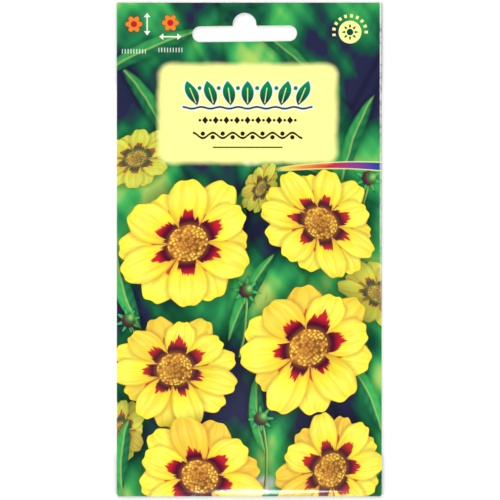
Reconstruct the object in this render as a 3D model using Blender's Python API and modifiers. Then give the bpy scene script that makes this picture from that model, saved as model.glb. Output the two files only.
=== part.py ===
"""A flat paper seed packet with a hanging slot, lying on its back with loose seeds in its pocket.

Units are metres and +Z is up. The packet lies on its back with its printed front up, and the header
with the slot points along +Y. The origin is under the middle of the packet, on the surface it lies on.
"""

import math
import random

import bmesh
import bpy

# Size of the flat packet
WIDTH = 0.080
LENGTH = 0.149
PAPER = 0.00015
GLUE = 0.0001
LAYER = PAPER + GLUE

# The lap of the two back panels. The left panel steps up and over the right one.
LAP = 0.008
LAP_STEP_RUN = 0.001
LAP_STEP_CLEARANCE = 0.0005

# The flap, folded up over the foot of the back panels
FLAP = 0.012
FLAP_TAPER = 0.002
FOOT_STEP_START = 0.0125
FOOT_STEP_END = 0.0140
FRONT_STEP_END = 0.040
BACK_FOOT_INSET = 0.00055

# The side folds are half round, and as high as the layers of the header
SIDE_HEIGHT = 2 * LAYER + PAPER
FOLD_SEGMENTS = 6
FOOT_HEIGHT = SIDE_HEIGHT + LAYER

# The filled pocket, where the front panel rises over the seeds
HEADER = 0.024
BULGE = 0.0022
POCKET_FOOT = 0.013
POCKET_TOP = LENGTH - HEADER - 0.004
POCKET_RISE_RUN = 0.034
POCKET_FALL_RUN = 0.052
BULGE_ROUNDNESS = 1.4

# The hanging slot: a bar with round ends and a round bump over its middle
SLOT_LENGTH = 0.0316
SLOT_HEIGHT = 0.0048
SLOT_DROP = 0.0094
SLOT_CENTRE_X = -0.0014
SLOT_TILT = math.radians(0.6)
BUMP_RADIUS = 0.0036
BUMP_DROP = 0.0067
ROUND_END_SEGMENTS = 12
BUMP_SEGMENTS = 16
CUTTER_DEPTH = 0.01

# How many faces the sheet has across each stretch and along it
LAP_FACES = 2
STEP_FACES = 3
BACK_FACES = 4
FRONT_FACES = 22
FOOT_FACES = 2
POCKET_FACES = 18
HEADER_FACES = 3
FLAP_FACES = 3
SHARP_ANGLE = math.radians(50)

# Glue strips stay this far inside the edges of the paper that they hold
SEAM_GLUE_INSET = 0.0002
SEAM_GLUE_BELOW_TOP = 0.0135
SEAM_GLUE_STEP_GAP = 0.0005
FLAP_GLUE_SIDE = 0.003
FLAP_GLUE_FOOT = 0.0012
FLAP_GLUE_TOP = 0.0112
HEADER_GLUE_SIDE = 0.002
HEADER_GLUE_TOP = 0.0015
HEADER_GLUE_LENGTH = 0.0215
CLEARANCE = 0.0003
MERGE = 0.00001

# Seeds are flat achenes with a thin wing all round
SEED_COUNT = 40
SEED_LENGTH = 0.0031
SEED_WIDTH = 0.0021
SEED_THICKNESS = 0.0006
SEED_WING = 0.00008
SEED_BODY_SHARE = 0.62
SEED_CURL = 0.00018
SEED_TIP_TAPER = 0.12
SEED_SIDES = 10
SEED_RINGS = 6
SEED_SPACING = 0.0036
SEED_SEED = 11
SEED_AREA_X = 0.026
SEED_AREA_FOOT = 0.020
SEED_AREA_TOP = 0.096
SEED_FOOT_BIAS = 1.35
TRIES_PER_SEED = 400

PAPER_COLOUR = (0.93, 0.80, 0.12, 1.0)
GLUE_COLOUR = (0.86, 0.84, 0.76, 1.0)
SEED_COLOUR = (0.045, 0.028, 0.018, 1.0)

FOOT_Y = -LENGTH / 2
TOP_Y = LENGTH / 2


def smooth(value, low, high):
    """0 below low, 1 above high, and a soft step between them."""
    t = min(1.0, max(0.0, (value - low) / (high - low)))
    return t * t * (3 - 2 * t)


def spread(start, end, count):
    """count + 1 values from start to end, both included."""
    return [start + (end - start) * i / count for i in range(count + 1)]


def back_height(y):
    """Height of the back panels' outer face: one layer up where the flap lies under them."""
    return LAYER * (1 - smooth(y - FOOT_Y, FOOT_STEP_START, FOOT_STEP_END))


def front_height(y):
    """Height of the front panel's outer face at the side folds."""
    return SIDE_HEIGHT + LAYER * (1 - smooth(y - FOOT_Y, FOOT_STEP_START, FRONT_STEP_END))


def bulge(x, y):
    """How far the front panel stands above its height at the side folds."""
    across = 1 - (2 * x / (WIDTH - SIDE_HEIGHT)) ** 2
    if across <= 0:
        return 0.0
    rise = smooth(y - FOOT_Y, POCKET_FOOT, POCKET_FOOT + POCKET_RISE_RUN)
    fall = 1 - smooth(y - FOOT_Y, POCKET_TOP - POCKET_FALL_RUN, POCKET_TOP)
    return BULGE * across ** BULGE_ROUNDNESS * rise * fall


def lap_height(x):
    """How far the left back panel has stepped up over the right one."""
    end = -LAP / 2 - LAP_STEP_CLEARANCE
    return LAYER * smooth(x, end - LAP_STEP_RUN, end)


def section_stations():
    """The stations round the packet: left lap, left fold, front, right fold, right back panel."""
    radius = SIDE_HEIGHT / 2
    fold_x = WIDTH / 2 - radius
    step_end = -LAP / 2 - LAP_STEP_CLEARANCE
    step_start = step_end - LAP_STEP_RUN
    stations = [("left_back", x) for x in spread(LAP / 2, step_end, LAP_FACES)]
    stations += [("left_back", x) for x in spread(step_end, step_start, STEP_FACES)[1:]]
    stations += [("left_back", x) for x in spread(step_start, -fold_x, BACK_FACES)[1:]]
    arc = spread(0, math.pi, FOLD_SEGMENTS)[1:-1]
    stations += [("left_fold", a) for a in arc]
    stations += [("front", x) for x in spread(-fold_x, fold_x, FRONT_FACES)]
    stations += [("right_fold", a) for a in reversed(arc)]
    stations += [("right_back", x) for x in spread(fold_x, -LAP / 2, BACK_FACES)]
    return stations


def place(station, y):
    """The point of the outer face at a station of the section, in the row at y."""
    kind, value = station
    radius = SIDE_HEIGHT / 2
    low = back_height(y)
    if kind == "left_back":
        return (value, y, low + lap_height(value))
    if kind == "right_back":
        return (value, y, low)
    if kind == "front":
        return (value, y, front_height(y) + bulge(value, y))
    side = -1 if kind == "left_fold" else 1
    x = side * (WIDTH / 2 - radius + radius * math.sin(value))
    return (x, y, low + (front_height(y) - low) * (1 - math.cos(value)) / 2)


def sheet_rows():
    """Where the rows of the packet's tube lie, from the foot of the back panels to the top edge."""
    rows = spread(BACK_FOOT_INSET, FOOT_STEP_START, FOOT_FACES)
    rows += spread(FOOT_STEP_START, FOOT_STEP_END, STEP_FACES)[1:]
    rows += spread(FOOT_STEP_END, POCKET_TOP, POCKET_FACES)[1:]
    rows += spread(POCKET_TOP, LENGTH, HEADER_FACES)[1:]
    return [FOOT_Y + row for row in rows]


def flap_rows():
    """(y, z, share of the flap's length) below the tube: round the foot fold and along the flap."""
    radius = FOOT_HEIGHT / 2
    rows = []
    for angle in spread(0, math.pi, FOLD_SEGMENTS):
        y = FOOT_Y + radius - radius * math.sin(angle)
        rows.append((y, radius + radius * math.cos(angle), 0.0))
    for y in spread(FOOT_Y + radius, FOOT_Y + FLAP, FLAP_FACES)[1:]:
        rows.append((y, 0.0, (y - FOOT_Y - radius) / (FLAP - radius)))
    return rows


def make_material(name, colour, roughness, metallic=0.0):
    """A plain Principled material."""
    material = bpy.data.materials.new(name)
    material.use_nodes = True
    shader = material.node_tree.nodes["Principled BSDF"]
    shader.inputs["Base Color"].default_value = colour
    shader.inputs["Roughness"].default_value = roughness
    shader.inputs["Metallic"].default_value = metallic
    material.diffuse_color = colour
    return material


def add_object(name, bm, material, collection):
    """Turns a bmesh into a named object with its own mesh."""
    mesh = bpy.data.meshes.new(name)
    bm.to_mesh(mesh)
    bm.free()
    mesh.materials.append(material)
    made = bpy.data.objects.new(name, mesh)
    collection.objects.link(made)
    return made


def join_rows(bm, above, below):
    """Joins two rows of vertices by a strip of faces."""
    for i in range(len(above) - 1):
        bm.faces.new((above[i], above[i + 1], below[i + 1], below[i]))


def printed_sheet(material, collection, cutter):
    """The folded sheet, as its open outer face with the paper's thickness added inwards."""
    bm = bmesh.new()
    stations = section_stations()
    rows = []
    for y in sheet_rows():
        rows.append([bm.verts.new(place(station, y)) for station in stations])
    for below, above in zip(rows, rows[1:]):
        join_rows(bm, above, below)
    front = [i for i, station in enumerate(stations) if station[0] == "front"]
    previous = [rows[0][i] for i in front]
    for y, z, share in flap_rows():
        narrowed = 1 - share * 2 * FLAP_TAPER / WIDTH
        current = [bm.verts.new((stations[i][1] * narrowed, y, z)) for i in front]
        join_rows(bm, previous, current)
        previous = current
    bmesh.ops.recalc_face_normals(bm, faces=bm.faces)
    top_face = max(bm.faces, key=lambda face: face.calc_center_median().z)
    if top_face.normal.z < 0:
        bmesh.ops.reverse_faces(bm, faces=bm.faces)
    sheet = add_object("printed_sheet", bm, material, collection)
    sheet.data.shade_smooth()
    sheet.data.set_sharp_from_angle(angle=SHARP_ANGLE)
    wall = sheet.modifiers.new("paper", "SOLIDIFY")
    wall.thickness = PAPER
    wall.offset = -1
    wall.use_even_offset = True
    punch(sheet, cutter)
    return sheet


def punch(made, cutter):
    """Cuts the hanging slot."""
    cut = made.modifiers.new("slot", "BOOLEAN")
    cut.operation = "DIFFERENCE"
    cut.solver = "EXACT"
    cut.object = cutter


def arc_points(centre_x, centre_y, radius, start, end, segments):
    """Points on an arc, both ends included."""
    return [
        (centre_x + radius * math.cos(a), centre_y + radius * math.sin(a))
        for a in spread(start, end, segments)
    ]


def slot_outline():
    """The slot's outline round the middle of its bar, from the left end round to the bump."""
    radius = SLOT_HEIGHT / 2
    end_x = SLOT_LENGTH / 2 - radius
    bump_y = SLOT_DROP - BUMP_DROP
    foot = math.asin((radius - bump_y) / BUMP_RADIUS)
    points = arc_points(-end_x, 0, radius, math.pi / 2, math.pi * 1.5, ROUND_END_SEGMENTS)
    points += arc_points(end_x, 0, radius, -math.pi / 2, math.pi / 2, ROUND_END_SEGMENTS)
    points += arc_points(0, bump_y, BUMP_RADIUS, foot, math.pi - foot, BUMP_SEGMENTS)
    return points


def slot_cutter(collection):
    """The punch: the slot's outline as a closed prism through the whole header."""
    curve = bpy.data.curves.new("slot_punch", "CURVE")
    curve.dimensions = "2D"
    curve.fill_mode = "BOTH"
    curve.extrude = CUTTER_DEPTH / 2
    outline = slot_outline()
    spline = curve.splines.new("POLY")
    spline.points.add(len(outline) - 1)
    for point, (x, y) in zip(spline.points, outline):
        point.co = (x, y, 0, 1)
    spline.use_cyclic_u = True
    drawn = bpy.data.objects.new("slot_punch_outline", curve)
    collection.objects.link(drawn)
    drawn.location = (SLOT_CENTRE_X, TOP_Y - SLOT_DROP, 0)
    drawn.rotation_euler = (0, 0, SLOT_TILT)
    bpy.context.view_layer.update()
    graph = bpy.context.evaluated_depsgraph_get()
    mesh = bpy.data.meshes.new_from_object(drawn.evaluated_get(graph))
    bm = bmesh.new()
    bm.from_mesh(mesh)
    bmesh.ops.remove_doubles(bm, verts=bm.verts, dist=MERGE)
    bmesh.ops.recalc_face_normals(bm, faces=bm.faces)
    bm.to_mesh(mesh)
    bm.free()
    cutter = bpy.data.objects.new("slot_punch", mesh)
    cutter.matrix_world = drawn.matrix_world
    collection.objects.link(cutter)
    bpy.data.objects.remove(drawn)
    cutter.hide_render = True
    cutter.display_type = "WIRE"
    return cutter


def glue_block(name, low, high, material, collection):
    """A flat film of glue between two corners."""
    bm = bmesh.new()
    bmesh.ops.create_cube(bm, size=1)
    for vert in bm.verts:
        vert.co = [a + (b - a) * (c + 0.5) for a, b, c in zip(low, high, vert.co)]
    return add_object(name, bm, material, collection)


def seam_glue(material, collection):
    """The strips between the laps, above the foot step and below it."""
    side = LAP / 2 - SEAM_GLUE_INSET
    start = FOOT_Y + FOOT_STEP_END + SEAM_GLUE_STEP_GAP
    end = TOP_Y - SEAM_GLUE_BELOW_TOP
    glue_block("back_seam_glue", (-side, start, PAPER), (side, end, LAYER), material, collection)
    start = FOOT_Y + BACK_FOOT_INSET + CLEARANCE
    end = FOOT_Y + FOOT_STEP_START - SEAM_GLUE_STEP_GAP
    low = (-side, start, LAYER + PAPER)
    glue_block("back_seam_glue_foot", low, (side, end, 2 * LAYER), material, collection)


def flap_glue(material, collection):
    """The film between the foot flap and the back panels."""
    side = WIDTH / 2 - FLAP_GLUE_SIDE
    low = (-side, FOOT_Y + FLAP_GLUE_FOOT, PAPER)
    high = (side, FOOT_Y + FLAP_GLUE_TOP, LAYER)
    glue_block("foot_flap_glue", low, high, material, collection)


def header_glue(material, collection, cutter):
    """The patch between front and back, with a channel in its underside for the left lap."""
    side = WIDTH / 2 - SIDE_HEIGHT / 2 - HEADER_GLUE_SIDE
    lap_left = -LAP / 2 - LAP_STEP_CLEARANCE - LAP_STEP_RUN - CLEARANCE
    lap_right = LAP / 2 + CLEARANCE
    under = SIDE_HEIGHT - PAPER
    profile = [(-side, PAPER), (lap_left, PAPER), (lap_left, 2 * LAYER - GLUE)]
    profile += [(lap_right, 2 * LAYER - GLUE), (lap_right, PAPER), (side, PAPER)]
    profile += [(side, under), (-side, under)]
    top = TOP_Y - HEADER_GLUE_TOP
    bm = bmesh.new()
    face = bm.faces.new([bm.verts.new((x, top, z)) for x, z in profile])
    grown = bmesh.ops.extrude_face_region(bm, geom=[face])
    moved = [item for item in grown["geom"] if isinstance(item, bmesh.types.BMVert)]
    bmesh.ops.translate(bm, verts=moved, vec=(0, -HEADER_GLUE_LENGTH, 0))
    bmesh.ops.recalc_face_normals(bm, faces=bm.faces)
    made = add_object("header_glue", bm, material, collection)
    punch(made, cutter)


def seed_mesh(material):
    """One winged seed, lying flat, with its ends curled a little upwards."""
    bm = bmesh.new()
    bmesh.ops.create_uvsphere(bm, u_segments=SEED_SIDES, v_segments=SEED_RINGS, radius=1)
    for vert in bm.verts:
        x, y, z = vert.co
        out = math.hypot(x, y)
        body = max(0.0, 1 - (out / SEED_BODY_SHARE) ** 2) ** 0.5
        half = (SEED_WING + (SEED_THICKNESS - SEED_WING) * body) / 2
        side = 0 if abs(z) < MERGE else math.copysign(1, z)
        taper = 1 - SEED_TIP_TAPER * x
        lift = SEED_CURL * x * x
        vert.co = (x * SEED_LENGTH / 2, y * taper * SEED_WIDTH / 2, side * half + lift)
    mesh = bpy.data.meshes.new("seed")
    bm.to_mesh(mesh)
    bm.free()
    mesh.shade_smooth()
    mesh.materials.append(material)
    return mesh


def seed_floor(x):
    """The lowest height of a seed at x: just above the back panel, or above the lap."""
    reach = SEED_LENGTH / 2
    over_lap = -LAP / 2 - LAP_STEP_CLEARANCE - LAP_STEP_RUN - reach < x < LAP / 2 + reach
    return CLEARANCE + PAPER + (LAYER if over_lap else 0)


def seed_fits(x, y, placed):
    """Whether a seed at (x, y) is clear of the seeds so far and of the front panel over it."""
    for other_x, other_y in placed:
        if math.hypot(x - other_x, y - other_y) < SEED_SPACING:
            return False
    highest = seed_floor(x) + SEED_THICKNESS + SEED_CURL + CLEARANCE
    reach = SEED_LENGTH / 2
    corners = [(x + i * reach, y + j * reach) for i in (-1, 1) for j in (-1, 1)]
    return all(SIDE_HEIGHT - PAPER + bulge(*corner) > highest for corner in corners)


def seeds(material, collection):
    """Loose seeds, more of them towards the foot of the pocket."""
    draw = random.Random(SEED_SEED)
    mesh = seed_mesh(material)
    placed = []
    for _ in range(SEED_COUNT * TRIES_PER_SEED):
        if len(placed) == SEED_COUNT:
            break
        x = draw.uniform(-SEED_AREA_X, SEED_AREA_X)
        share = draw.random() ** SEED_FOOT_BIAS
        y = FOOT_Y + SEED_AREA_FOOT + (SEED_AREA_TOP - SEED_AREA_FOOT) * share
        turn = draw.uniform(0, 2 * math.pi)
        if not seed_fits(x, y, placed):
            continue
        placed.append((x, y))
        seed = bpy.data.objects.new(f"seed_{len(placed):02d}", mesh)
        seed.location = (x, y, seed_floor(x) + SEED_THICKNESS / 2)
        seed.rotation_euler = (0, 0, turn)
        collection.objects.link(seed)
    if len(placed) < SEED_COUNT:
        raise RuntimeError("the pocket is too small for its seeds")


def main():
    """Builds the packet."""
    for old in list(bpy.data.objects):
        bpy.data.objects.remove(old)
    packet = bpy.data.collections.new("seed_packet")
    cutters = bpy.data.collections.new("cutters")
    bpy.context.scene.collection.children.link(packet)
    bpy.context.scene.collection.children.link(cutters)
    paper = make_material("printed_paper", PAPER_COLOUR, 0.3)
    glue = make_material("dry_glue", GLUE_COLOUR, 0.5)
    seed = make_material("seed_coat", SEED_COLOUR, 0.7)
    cutter = slot_cutter(cutters)
    printed_sheet(paper, packet, cutter)
    seam_glue(glue, packet)
    flap_glue(glue, packet)
    header_glue(glue, packet, cutter)
    seeds(seed, packet)


main()
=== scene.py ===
"""The looks of a flat paper seed packet: its folded and printed sheet, its glue, its seeds and a stage.

Lengths are in metres. The print's own layout is in millimetres from the packet's middle.
"""

import math

import bmesh
import bpy
import numpy as np
from bpy.props import FloatProperty, FloatVectorProperty, PointerProperty
from bpy.types import Operator, Panel, PropertyGroup
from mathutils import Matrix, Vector, noise


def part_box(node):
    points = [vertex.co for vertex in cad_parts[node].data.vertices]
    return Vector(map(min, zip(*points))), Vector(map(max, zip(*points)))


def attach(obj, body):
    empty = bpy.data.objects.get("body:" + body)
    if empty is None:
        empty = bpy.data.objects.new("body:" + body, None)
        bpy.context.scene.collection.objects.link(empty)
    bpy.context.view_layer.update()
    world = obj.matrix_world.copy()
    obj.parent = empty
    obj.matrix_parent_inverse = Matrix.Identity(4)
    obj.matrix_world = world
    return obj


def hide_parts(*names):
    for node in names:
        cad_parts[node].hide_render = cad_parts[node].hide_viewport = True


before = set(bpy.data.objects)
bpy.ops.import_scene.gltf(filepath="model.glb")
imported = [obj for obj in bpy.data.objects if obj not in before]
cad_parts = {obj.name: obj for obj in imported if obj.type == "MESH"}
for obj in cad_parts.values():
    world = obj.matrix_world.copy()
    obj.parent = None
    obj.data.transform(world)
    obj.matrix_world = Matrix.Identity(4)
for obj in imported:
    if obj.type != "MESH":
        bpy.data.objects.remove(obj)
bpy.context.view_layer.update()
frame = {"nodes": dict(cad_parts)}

bl_info = {
    "name": "Seed packet looks",
    "version": (1, 0, 0),
    "blender": (4, 5, 0),
    "location": "View3D > Sidebar > Packet",
    "description": "Dresses a packed seed packet with its printed sheet, glue, seeds and stage",
    "category": "Object",
}

MM = 0.001
BODY = "root"
SHEET_LOW, SHEET_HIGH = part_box("printed_sheet")
WIDTH = SHEET_HIGH.x - SHEET_LOW.x
LENGTH = SHEET_HIGH.y - SHEET_LOW.y
FOOT_Y = SHEET_LOW.y
TOP_Y = SHEET_HIGH.y
TINY = 1e-6

# The sheet's folds, as the solid has them
FLAP = 12.0 * MM
FLAP_TAPER = 2.0 * MM
FOOT_STEP = (12.5 * MM, 14.0 * MM)
FRONT_STEP_END = 40.0 * MM
BACK_FOOT_INSET = 0.55 * MM
LAP_STEP_RUN = 1.0 * MM
LAP_STEP_CLEARANCE = 0.5 * MM
POCKET_FOOT = 13.0 * MM
POCKET_TOP = 121.0 * MM
POCKET_RISE_RUN = 34.0 * MM
POCKET_FALL_RUN = 52.0 * MM
SWELL_ROUNDNESS = 1.4

# The low roll along the foot of the front: how high, and where it rises and falls
FOOT_ROLL = 0.24 * MM
FOOT_ROLL_RISE = (0.3 * MM, 3.0 * MM)
FOOT_ROLL_FALL = (6.0 * MM, 15.0 * MM)

# The front's slight wave: its height, its turns a metre across and along, and its slice of the noise
WAVE_HEIGHT = 0.12 * MM
WAVE_PITCH = (55, 38)
WAVE_SLICE = 0.3

# The front is even this near its foot and its top edge, and its buckles dip no lower than this
STILL_FOOT = 0.5 * MM
STILL_TOP = 4.0 * MM
LOWEST_BUCKLE = -0.02 * MM

# Buckles at the pocket's corners: where each starts, the way it points, and its share of the height
BUCKLES = (
    (-36.0 * MM, FOOT_Y + POCKET_FOOT + 4.0 * MM, 62, 0.9),
    (37.0 * MM, FOOT_Y + POCKET_FOOT + 2.0 * MM, 118, 1.0),
    (-35.0 * MM, FOOT_Y + POCKET_TOP - 12.0 * MM, -58, 0.7),
    (36.0 * MM, FOOT_Y + POCKET_TOP - 16.0 * MM, -120, 0.8),
)
BUCKLE_HEIGHT = 0.07 * MM
BUCKLE_WIDTH = 3.5 * MM
BUCKLE_SPREAD = 0.42
BUCKLE_RISE = (-2.0 * MM, 6.0 * MM)
BUCKLE_FALL = (8.0 * MM, 34.0 * MM)

# The soft crease near the right edge
CREASE_PLACE = (36.5 * MM, 54.5 * MM)
CREASE_TURN = -38
CREASE_HEIGHT = 0.09 * MM
CREASE_WIDTH = 0.7 * MM
CREASE_REACH = 4.5 * MM

# Faces: round each fold, over the lap's step, in the foot's step, along the rest, and round the slot
FOLD_STEPS = 12
STEP_FACES = 5
FOOT_STEP_ROWS = (0.25, 0.5, 0.75)
FACE_SIZE = 1.0 * MM
SLOT_SIDES = 48
SHARP_ANGLE = math.radians(40)

# One call of subdivide makes no more cuts than this
MOST_CUTS = 100

# An edge lies along an axis if its run there is this share of its length, and is cut past this many faces
STRAIGHT = 0.99
LONG_EDGE = 1.5

# A face that looks up by more than this gets the front print
UPWARD = 0.02

# Points above this share of the folds' height belong to the front panel
FRONT_SHARE = 0.93

# How far each punch reaches past the sheet
PUNCH_REACH = 4.0 * MM

# The camera's sensor in millimetres, where its view starts, the floor, the sky's dark patch by height,
# and the two lamps as place, size and power
SENSOR = 36
NEAR_CLIP = 0.01
FLOOR_SIZE = 6.0
OVERHEAD_PATCH = (0.72, 0.93)
KEY_LAMP = ((-0.5, 0.55, 0.6), (0.5, 0.5), 2.0)
GLARE_LAMP = ((0.02, -0.235, 0.5), (0.09, 0.03), 0.3)


def srgb(red, green, blue):
    """A screen colour of 0 to 255 as the linear colour that Blender uses."""
    def linear(value):
        value /= 255
        return value / 12.92 if value <= 0.04045 else ((value + 0.055) / 1.055) ** 2.4
    return (linear(red), linear(green), linear(blue))


def number_of(name, default, text):
    """A number that the user may change."""
    return FloatProperty(name=name, description=text, default=default, min=0)


def size_of(name, default, text):
    """A length that the user may change."""
    return FloatProperty(name=name, description=text, default=default, min=0, unit="LENGTH", precision=6)


def place_of(name, default, text):
    """A place along an axis that the user may change."""
    return FloatProperty(name=name, description=text, default=default, unit="LENGTH", precision=6)


def colour_of(name, default, text):
    """A colour that the user may change."""
    return FloatVectorProperty(
        name=name, description=text, default=default, subtype="COLOR", size=3, min=0, max=1
    )


class PacketSizes(PropertyGroup):
    """Sizes of the folded sheet and its slot."""

    paper: size_of("Paper", 0.15 * MM, "Thickness of the laminated paper")
    layer: size_of("Layer", 0.25 * MM, "Thickness of one sheet of paper and its glue")
    lap: size_of("Lap", 8.0 * MM, "Width of the lap of the two back panels")
    swell: size_of("Swell", 2.12 * MM, "How far the filled pocket stands up")
    slot_length: size_of("Slot length", 31.6 * MM, "Length of the hanging slot's bar")
    slot_height: size_of("Slot height", 4.8 * MM, "Height of the hanging slot's bar")
    slot_drop: size_of("Slot drop", 9.4 * MM, "From the top edge to the middle of the bar")
    slot_left: size_of("Slot left", 1.4 * MM, "How far the slot sits left of the middle")
    slot_tilt: FloatProperty(
        name="Slot tilt", description="Turn of the punched slot",
        default=math.radians(0.6), subtype="ANGLE",
    )
    bump_radius: size_of("Bump radius", 3.6 * MM, "Radius of the round bump over the bar")
    bump_drop: size_of("Bump drop", 6.7 * MM, "From the top edge to the middle of the bump")
    punch_lip: size_of("Punch lip", 0.25 * MM, "How far the back layer's punched edge shows")


class PrintInks(PropertyGroup):
    """Colours of the print."""

    lemon: colour_of("Lemon", srgb(255, 250, 96), "Petal tips")
    yellow: colour_of("Yellow", srgb(255, 238, 58), "Middle of the petals")
    amber: colour_of("Amber", srgb(250, 186, 64), "Foot of the petals")
    fold: colour_of("Fold", srgb(236, 150, 46), "Petal edges in shade")
    crimson: colour_of("Crimson", srgb(200, 32, 48), "Outer edge of the eye")
    maroon: colour_of("Maroon", srgb(84, 14, 44), "Middle of the eye")
    floret: colour_of("Floret", srgb(244, 168, 66), "Florets of the disc")
    bark: colour_of("Bark", srgb(104, 52, 30), "Gaps between the florets")
    night: colour_of("Night", srgb(38, 40, 72), "Deepest ground")
    pine: colour_of("Pine", srgb(20, 84, 62), "Dark leaves")
    leaf: colour_of("Leaf", srgb(36, 134, 78), "Leaves")
    meadow: colour_of("Meadow", srgb(70, 184, 92), "Bright leaves")
    lime: colour_of("Lime", srgb(176, 214, 104), "Light on the leaves")
    cream: colour_of("Cream", srgb(255, 254, 158), "Label")
    bottle: colour_of("Bottle", srgb(8, 74, 56), "Ornament, lower part")
    soot: colour_of("Soot", srgb(40, 22, 20), "Rules on the label")
    jade: colour_of("Jade", srgb(0, 142, 84), "Ornament, upper part")
    paper: colour_of("Paper", srgb(248, 246, 240), "Bare paper")


class StageLook(PropertyGroup):
    """Floor, light and camera."""

    floor: colour_of("Floor", srgb(254, 254, 254), "Colour of the floor")
    sky: number_of("Sky", 1.25, "Strength of the soft light all round")
    overhead: number_of("Overhead", 0.08, "Strength of the sky overhead")
    floor_gap: size_of("Floor gap", 0.05 * MM, "How far the floor lies below the packet")
    lens: FloatProperty(
        name="Lens", description="Focal length in millimetres", default=135, min=1
    )
    frame: size_of("Frame", 150.65 * MM, "Width of the picture at the packet")
    look_x: place_of("Look at X", 0.226 * MM, "Where the camera looks, across")
    look_y: place_of("Look at Y", -0.15 * MM, "Where the camera looks, along")


class Ink:
    """A number in a material's node tree, so that shader maths reads as plain arithmetic."""

    def __init__(self, press, socket):
        self.press = press
        self.socket = socket

    def __add__(self, other):
        return self.press.maths("ADD", self, other)

    def __sub__(self, other):
        return self.press.maths("SUBTRACT", self, other)

    def __mul__(self, other):
        return self.press.maths("MULTIPLY", self, other)

    def __truediv__(self, other):
        return self.press.maths("DIVIDE", self, other)

    def __pow__(self, other):
        return self.press.maths("POWER", self, other)

    def __radd__(self, other):
        return self.press.maths("ADD", other, self)

    def __rsub__(self, other):
        return self.press.maths("SUBTRACT", other, self)

    def __rmul__(self, other):
        return self.press.maths("MULTIPLY", other, self)

    def __neg__(self):
        return self.press.maths("MULTIPLY", self, -1.0)

    def __abs__(self):
        return self.press.maths("ABSOLUTE", self)

    def floor(self):
        return self.press.maths("FLOOR", self)

    def sin(self):
        return self.press.maths("SINE", self)

    def cos(self):
        return self.press.maths("COSINE", self)

    def at_least(self, other):
        return self.press.maths("MAXIMUM", self, other)

    def at_most(self, other):
        return self.press.maths("MINIMUM", self, other)

    def over(self, other):
        return self.press.maths("GREATER_THAN", self, other)

    def wrapped(self, other):
        return self.press.maths("FLOORED_MODULO", self, other)

    def soft(self, low, high):
        """0 at low, 1 at high, and a soft step between them. low may be the larger one."""
        made = self.press.node(
            "ShaderNodeMapRange",
            {"interpolation_type": "SMOOTHSTEP"},
            {"Value": self, "From Min": low, "From Max": high},
        )
        return Ink(self.press, made.outputs["Result"])


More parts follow.
